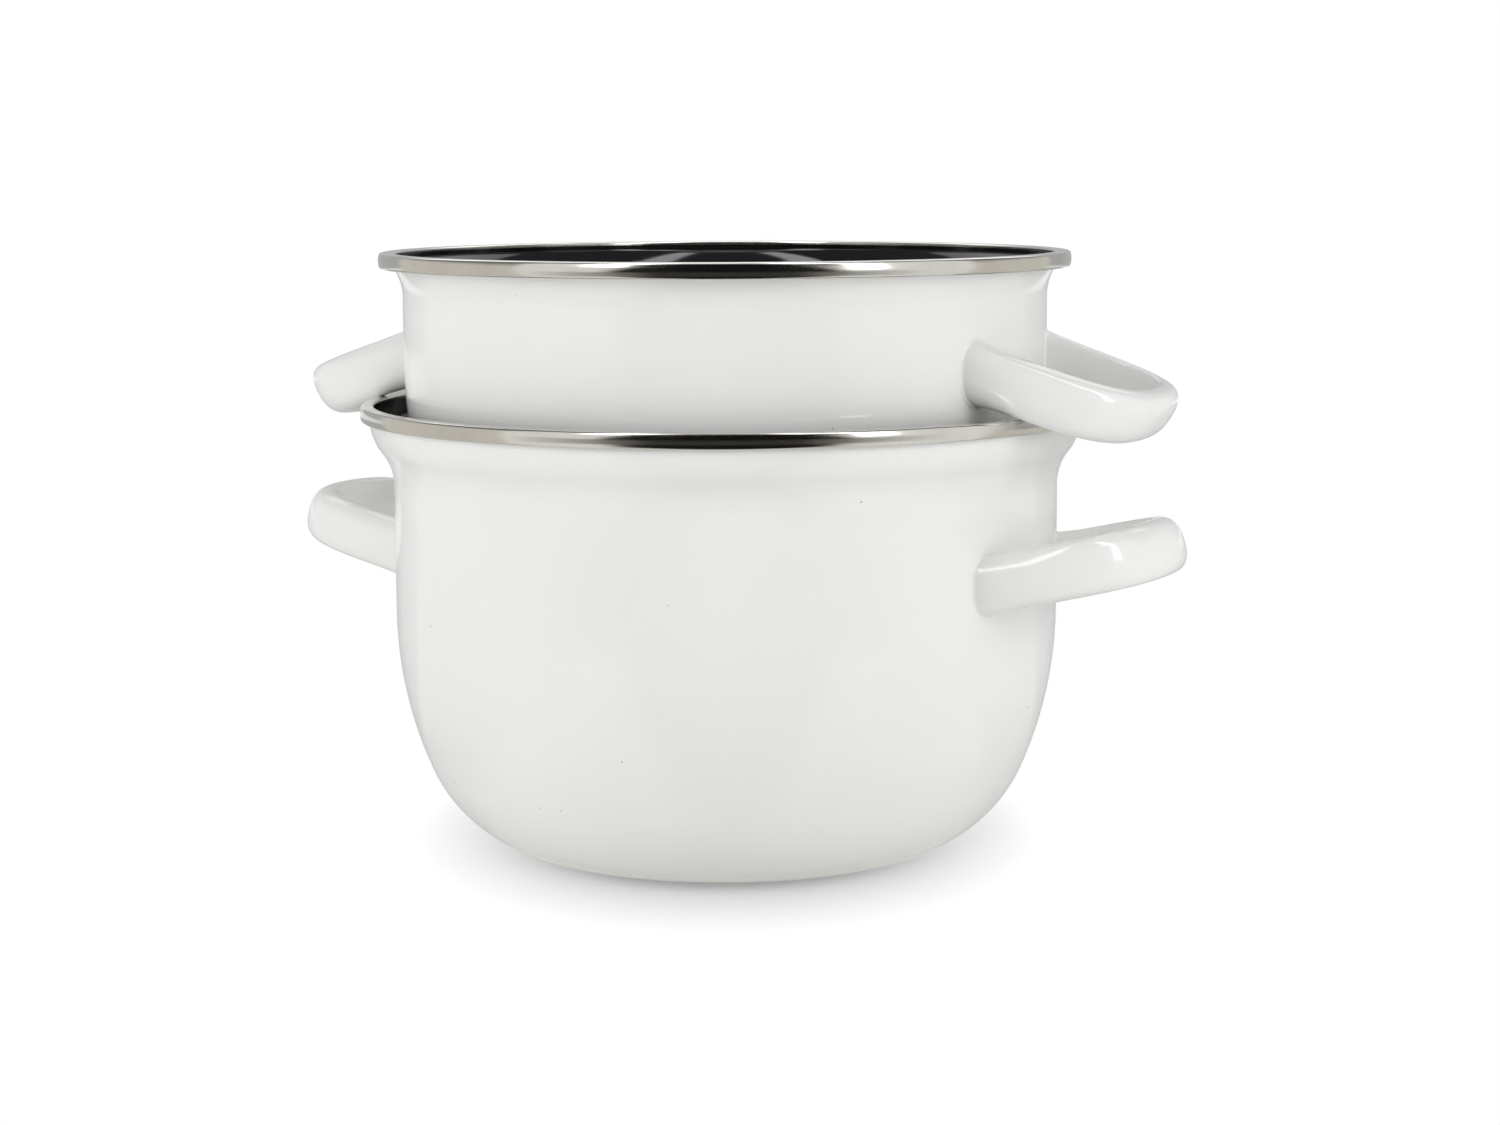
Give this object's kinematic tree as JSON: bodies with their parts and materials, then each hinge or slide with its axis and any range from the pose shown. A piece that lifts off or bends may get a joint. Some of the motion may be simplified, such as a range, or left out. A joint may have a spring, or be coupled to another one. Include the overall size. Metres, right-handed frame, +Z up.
{
  "type": "mussel pot",
  "caption": "Round-bellied enamelled steel pot with strap handles; its deep handled lid hangs upside down in the mouth as a bowl for shells and lifts out.",
  "frame": {"origin": "middle of the pot's flat base, on the surface that it stands on", "axes": "+Z up along the pot's axis, +X out through the right handles, +Y to the back"},
  "size_m": [0.3248, 0.25, 0.2064],
  "materials": {
    "white_enamel": "glossy white vitreous enamel on sheet steel",
    "black_enamel": "glossy black vitreous enamel on the inside of the sheet steel",
    "stainless_band": "polished stainless strip rolled over the lip"
  },
  "bodies": {
    "pot": {"pot_shell": "white_enamel", "pot_rim_band": "stainless_band", "pot_handle_right": "white_enamel", "pot_handle_left": "white_enamel"},
    "lid": {"lid_shell": "white_enamel", "lid_rim_band": "stainless_band", "lid_handle_right": "white_enamel", "lid_handle_left": "white_enamel"}
  },
  "joints": [
    {"name": "lid_lift", "type": "slide", "parent": "pot", "child": "lid", "axis": [0, 0, 1], "range_m": [0, 0.1]}
  ]
}
